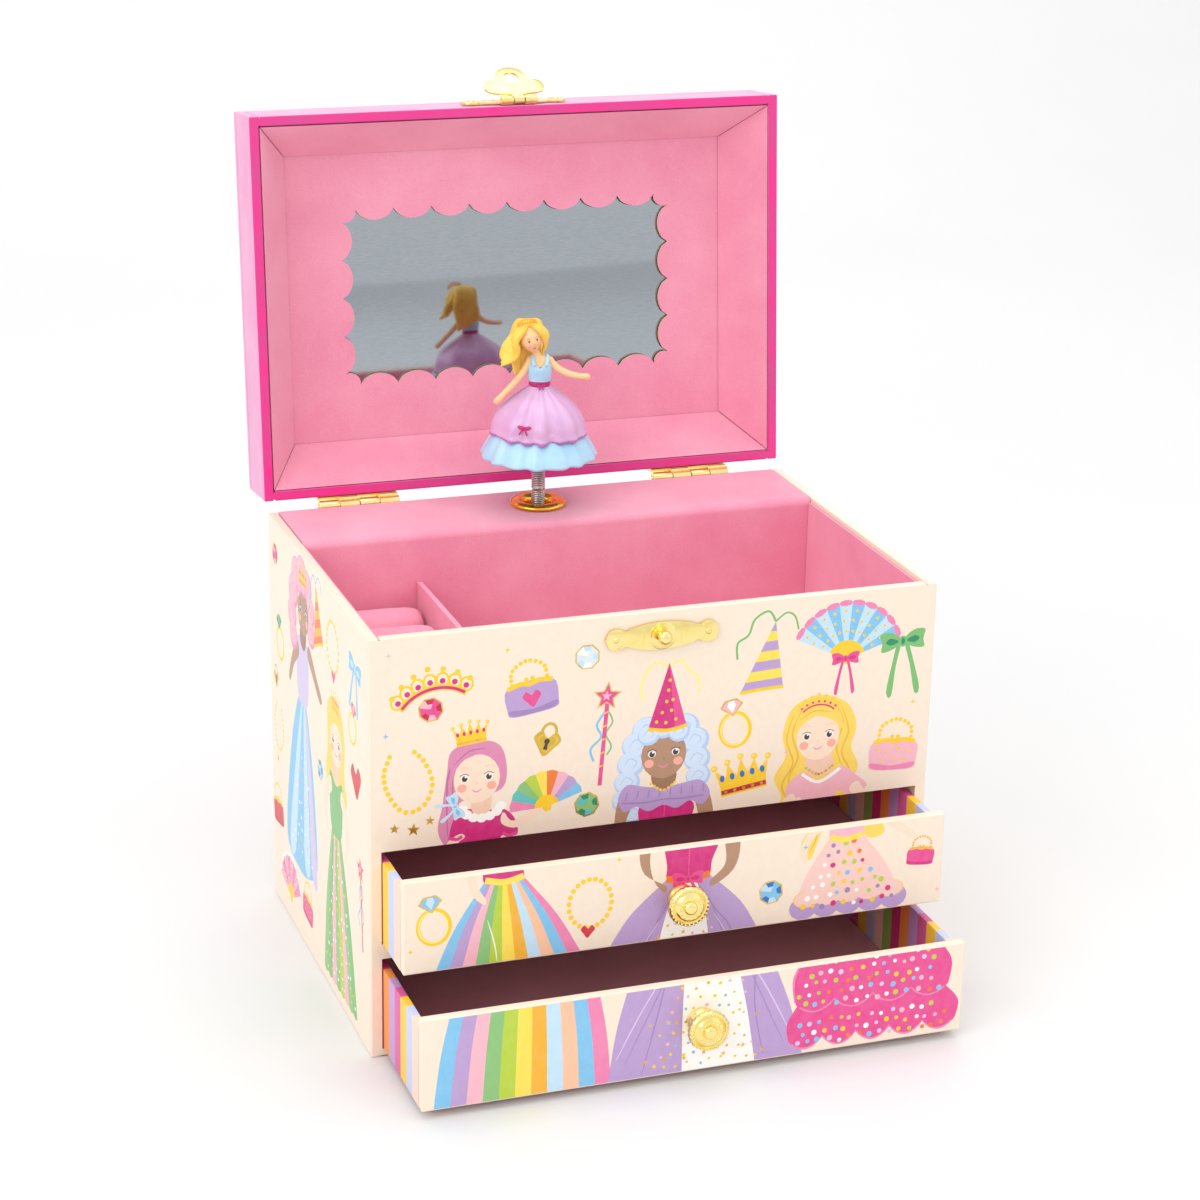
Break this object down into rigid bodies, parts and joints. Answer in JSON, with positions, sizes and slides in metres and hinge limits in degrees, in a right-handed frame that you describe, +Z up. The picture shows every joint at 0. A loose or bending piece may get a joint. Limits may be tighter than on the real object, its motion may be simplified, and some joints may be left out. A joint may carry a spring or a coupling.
{
  "type": "musical jewellery box",
  "caption": "Wind-up musical jewellery box with a mirrored hinged lid, pull-out drawers, a ring tray and a gowned doll that turns on a coil spring.",
  "frame": {"origin": "centre of the bottom face of the case, on the surface it stands on", "axes": "+X to the right seen from the front, +Y towards the lid hinges at the back, +Z up"},
  "size_m": [0.18, 0.2125, 0.27],
  "materials": {
    "printed_paper": "satin printed paper over board",
    "lid_paper": "satin hot pink and pale pink paper over board",
    "base_board": "matt fibreboard",
    "pink_suede": "matt suede-like lining",
    "striped_paper": "satin striped paper over board",
    "drawer_liner": "matt liner",
    "mirror_glass": "polished",
    "brass": "bright plated",
    "steel": "bright",
    "gown_blue": "painted gloss",
    "gown_lilac": "painted gloss",
    "doll_skin": "painted satin",
    "doll_hair": "painted gloss"
  },
  "bodies": {
    "case": {"left_side_panel": "printed_paper", "right_side_panel": "printed_paper", "front_panel": "printed_paper", "back_panel": "printed_paper", "bottom_panel": "base_board", "drawer_shelf": "printed_paper", "compartment_floor": "pink_suede", "mechanism_wall": "pink_suede", "mechanism_deck": "pink_suede", "compartment_lining": "pink_suede", "ring_tray": "pink_suede", "ring_roll_1": "pink_suede", "ring_roll_2": "pink_suede", "ring_roll_3": "pink_suede", "ring_roll_4": "pink_suede", "ring_roll_5": "pink_suede", "hinge_left_case_leaf": "brass", "hinge_right_case_leaf": "brass", "catch_plate": "brass", "movement_bedplate": "steel", "mainspring_housing": "brass", "music_comb": "steel", "deck_grommet": "brass"},
    "lid": {"lid_left_board": "lid_paper", "lid_right_board": "lid_paper", "lid_front_board": "lid_paper", "lid_back_board": "lid_paper", "lid_top_panel": "lid_paper", "lid_lining": "pink_suede", "mirror_window_card": "pink_suede", "mirror": "mirror_glass", "hinge_left_lid_leaf": "brass", "hinge_right_lid_leaf": "brass", "hasp_plate": "brass"},
    "hasp": {"hasp_flap": "brass"},
    "upper_drawer": {"upper_drawer_front": "printed_paper", "upper_drawer_left_side": "striped_paper", "upper_drawer_right_side": "striped_paper", "upper_drawer_back": "striped_paper", "upper_drawer_bottom": "drawer_liner", "upper_drawer_knob": "brass"},
    "lower_drawer": {"lower_drawer_front": "printed_paper", "lower_drawer_left_side": "striped_paper", "lower_drawer_right_side": "striped_paper", "lower_drawer_back": "striped_paper", "lower_drawer_bottom": "drawer_liner", "lower_drawer_knob": "brass"},
    "winding_arbor": {"winding_key": "steel", "great_wheel": "brass"},
    "cylinder": {"pinned_cylinder": "brass"},
    "governor": {"governor_fan": "brass"},
    "dancer_drive": {"dancer_shaft": "steel", "spring_base": "steel"},
    "spring_foot": {"spring_lower": "steel"},
    "spring_head": {"spring_upper": "steel"},
    "doll_carrier": {"spring_tip": "steel"},
    "doll": {"doll_underskirt": "gown_blue", "doll_overskirt": "gown_lilac", "doll_body": "doll_skin", "doll_hair": "doll_hair"}
  },
  "joints": [
    {"name": "lid_hinge", "type": "hinge", "parent": "case", "child": "lid", "pos_m": [0, 0.065, 0.1338], "axis": [1, 0, 0], "range_deg": [0, 95.4]},
    {"name": "hasp_hinge", "type": "hinge", "parent": "lid", "child": "hasp", "pos_m": [0, 0.08031, 0.26173], "axis": [1, 0, 0], "range_deg": [-34, 143]},
    {"name": "upper_drawer_slide", "type": "slide", "parent": "case", "child": "upper_drawer", "axis": [0, -1, 0], "range_m": [-0.0223, 0.07]},
    {"name": "lower_drawer_slide", "type": "slide", "parent": "case", "child": "lower_drawer", "axis": [0, -1, 0], "range_m": [-0.0412, 0.052]},
    {"name": "winding_turn", "type": "hinge", "parent": "case", "child": "winding_arbor", "pos_m": [-0.003, 0.0464, 0.09], "axis": [0, 1, 0], "continuous": true},
    {"name": "cylinder_turn", "type": "hinge", "parent": "case", "child": "cylinder", "pos_m": [0, 0.0464, 0.09], "axis": [1, 0, 0], "continuous": true},
    {"name": "governor_turn", "type": "hinge", "parent": "case", "child": "governor", "pos_m": [0, 0.0464, 0.09823], "axis": [1, 0, 0], "continuous": true},
    {"name": "dancer_turn", "type": "hinge", "parent": "case", "child": "dancer_drive", "pos_m": [-0.003, 0.0464, 0.1344], "axis": [0, 0, 1], "continuous": true},
    {"name": "spring_bend", "type": "hinge", "parent": "case", "child": "spring_foot", "pos_m": [-0.003, 0.0464, 0.1401], "axis": [1, 0, 0], "range_deg": [0, 99.48], "deforming": ["spring_lower", "spring_upper"]},
    {"name": "spring_stretch", "type": "slide", "parent": "spring_foot", "child": "spring_head", "axis": [0, 0, 1], "range_m": [0, 0.0086]},
    {"name": "doll_bow", "type": "hinge", "parent": "spring_head", "child": "doll_carrier", "pos_m": [-0.003, 0.0464, 0.1752], "axis": [1, 0, 0], "range_deg": [-9.48, 0]},
    {"name": "doll_turn", "type": "hinge", "parent": "doll_carrier", "child": "doll", "pos_m": [-0.003, 0.0464, 0.1752], "axis": [0, 0, 1], "continuous": true}
  ],
  "couplings": [
    {"joint": "winding_turn", "follows": "doll_turn", "ratio": -0.22222},
    {"joint": "cylinder_turn", "follows": "doll_turn", "ratio": 1},
    {"joint": "governor_turn", "follows": "doll_turn", "ratio": -3.75},
    {"joint": "dancer_turn", "follows": "doll_turn", "ratio": 1},
    {"joint": "spring_bend", "follows": "lid_hinge", "ratio": 1.0428},
    {"joint": "doll_bow", "follows": "lid_hinge", "ratio": -0.099412},
    {"joint": "spring_stretch", "follows": "lid_hinge", "m_per_rad": 0.0051634}
  ]
}
